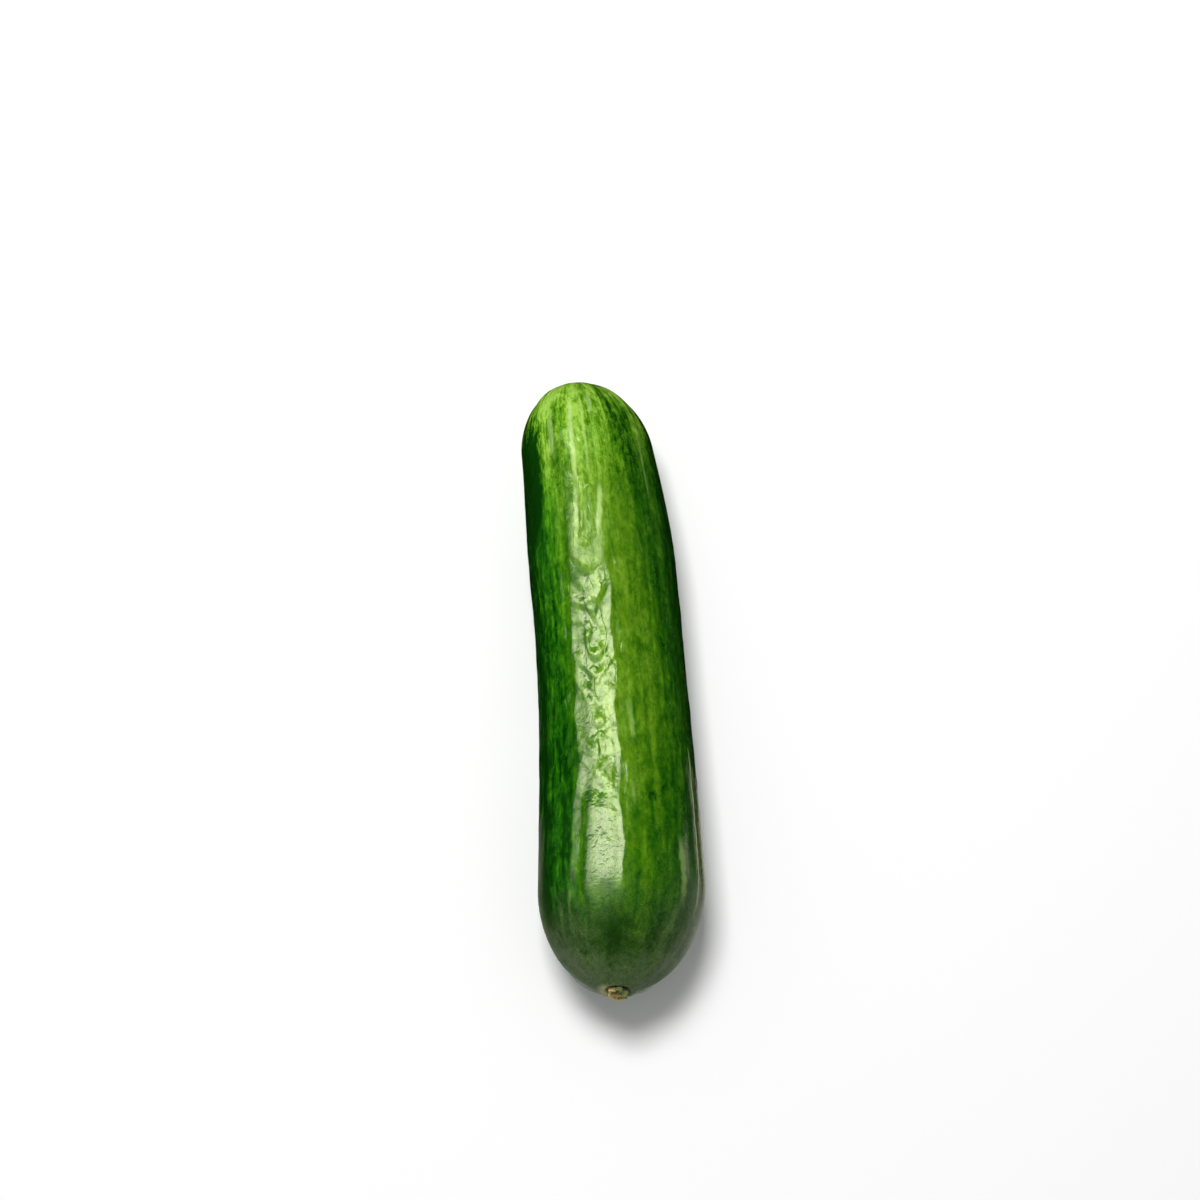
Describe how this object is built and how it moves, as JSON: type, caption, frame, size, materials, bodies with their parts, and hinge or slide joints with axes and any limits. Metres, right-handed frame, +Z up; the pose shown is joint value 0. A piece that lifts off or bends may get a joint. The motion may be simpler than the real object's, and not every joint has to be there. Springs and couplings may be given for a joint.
{
  "type": "cucumber",
  "caption": "Small smooth-skinned cucumber lying on its side: a slightly bent, softly wrinkled green fruit with rounded ends and a dry stalk stub.",
  "frame": {"origin": "on the surface that the fruit lies on, under the middle of its bounding box", "axes": "+Z up; +Y along the fruit from its stem end to its blossom end; the fruit's middle bows a little towards +X"},
  "size_m": [0.0403, 0.1562, 0.04],
  "materials": {
    "green_skin": "waxy fruit skin with a soft gloss",
    "dry_stalk": "dry, fibrous and torn"
  },
  "bodies": {
    "root": {"fruit": "green_skin", "stem_stub": "dry_stalk"}
  },
  "joints": []
}
